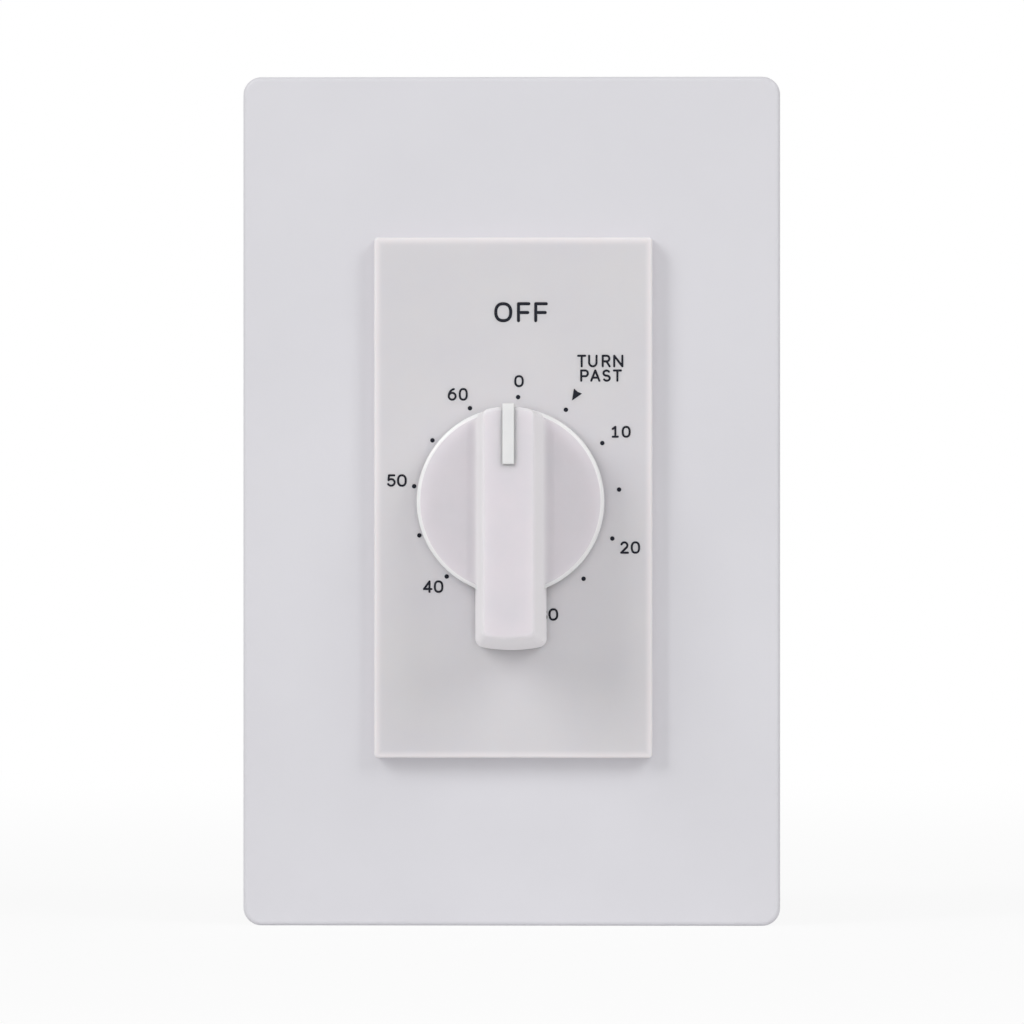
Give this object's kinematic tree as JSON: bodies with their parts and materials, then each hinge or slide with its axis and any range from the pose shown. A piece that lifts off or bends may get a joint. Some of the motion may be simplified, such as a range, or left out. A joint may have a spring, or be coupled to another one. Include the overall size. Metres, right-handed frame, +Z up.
{
  "type": "timer light switch",
  "caption": "In-wall spring-wound timer light switch: screwless wall plate, printed dial plate and a tapered pointer knob over a clockwork movement that opens a contact when it runs down.",
  "frame": {"origin": "on the wall's surface, where the knob's axis meets it", "axes": "+Z up the wall, +X to the right seen from the front, +Y into the wall; the front faces -Y"},
  "size_m": [0.075, 0.0594, 0.1184],
  "materials": {
    "plate_plastic": "satin",
    "dial_plastic": "satin, slightly translucent, printed",
    "knob_plastic": "satin gloss",
    "pointer_plastic": "gloss",
    "adapter_plastic": "matt",
    "zinc_steel": "zinc plated",
    "retainer_fibre": "vulcanised fibre",
    "ground_paint": "green passivated",
    "case_plastic": "matt moulded",
    "movement_brass": "stamped and rolled",
    "turned_steel": "turned",
    "spring_steel": "blued",
    "cam_plastic": "matt",
    "block_plastic": "matt phenolic",
    "blade_bronze": "rolled",
    "contact_silver": "polished",
    "terminal_brass": "plated"
  },
  "bodies": {
    "switch_housing": {"wall_plate": "plate_plastic", "dial_plate": "dial_plastic", "adapter_plate": "adapter_plastic", "adapter_screws": "zinc_steel", "yoke": "zinc_steel", "box_screws": "zinc_steel", "frame_screws": "zinc_steel", "case_rear_screws": "zinc_steel", "block_screws": "zinc_steel", "screw_retainers": "retainer_fibre", "ground_screw": "ground_paint", "case_front": "case_plastic", "case_rear": "case_plastic", "front_movement_plate": "movement_brass", "back_movement_plate": "movement_brass", "arbor_bushing": "movement_brass", "movement_pillars": "turned_steel", "stop_pin": "turned_steel", "spring_post": "turned_steel", "mainspring": "spring_steel", "contact_block": "block_plastic", "moving_contact_blade": "blade_bronze", "fixed_contact_blade": "blade_bronze", "moving_contact": "contact_silver", "fixed_contact": "contact_silver", "terminal_plates": "terminal_brass", "terminal_screws": "terminal_brass"},
    "knob_and_arbor": {"knob": "knob_plastic", "pointer_insert": "pointer_plastic", "knob_clip": "spring_steel", "main_arbor": "turned_steel", "arbor_retaining_ring": "spring_steel", "stop_dog": "turned_steel", "great_wheel": "movement_brass", "ratchet_wheel": "turned_steel", "click_stud": "turned_steel", "click_spring": "spring_steel", "switch_cam": "cam_plastic"},
    "click_lever": {"click": "turned_steel"},
    "second_gear": {"second_arbor": "turned_steel", "second_wheel": "movement_brass"},
    "third_gear": {"third_arbor": "turned_steel", "third_wheel": "movement_brass"},
    "escape_gear": {"escape_arbor": "turned_steel", "escape_wheel": "movement_brass"},
    "verge_and_balance": {"verge_arbor": "turned_steel", "verge": "turned_steel", "balance_bar": "movement_brass"}
  },
  "joints": [
    {"name": "knob_turn", "type": "hinge", "parent": "switch_housing", "child": "knob_and_arbor", "pos_m": [0, 0, 0], "axis": [0, 1, 0], "range_deg": [0, 332.31], "deforming": ["mainspring", "moving_contact_blade", "moving_contact"]},
    {"name": "click_lift", "type": "hinge", "parent": "knob_and_arbor", "child": "click_lever", "pos_m": [0.00737, 0, 0.00516], "axis": [0, -1, 0], "range_deg": [0, 8], "stiffness_Nm_per_rad": 0.001, "springref_deg": -5.73, "deforming": ["click_spring"]},
    {"name": "second_turn", "type": "hinge", "parent": "switch_housing", "child": "second_gear", "pos_m": [0.0038, 0, -0.01327], "axis": [0, 1, 0], "continuous": true},
    {"name": "third_turn", "type": "hinge", "parent": "switch_housing", "child": "third_gear", "pos_m": [-0.00452, 0, -0.0205], "axis": [0, 1, 0], "continuous": true},
    {"name": "escape_turn", "type": "hinge", "parent": "switch_housing", "child": "escape_gear", "pos_m": [-0.01052, 0, -0.0132], "axis": [0, 1, 0], "continuous": true},
    {"name": "verge_rock", "type": "hinge", "parent": "switch_housing", "child": "verge_and_balance", "pos_m": [-0.01388, 0, -0.00396], "axis": [0, 1, 0], "range_deg": [-6.3, 6.3]}
  ],
  "couplings": [
    {"joint": "second_turn", "follows": "knob_turn", "ratio": -6.6667},
    {"joint": "third_turn", "follows": "knob_turn", "ratio": 40},
    {"joint": "escape_turn", "follows": "knob_turn", "ratio": -240}
  ]
}
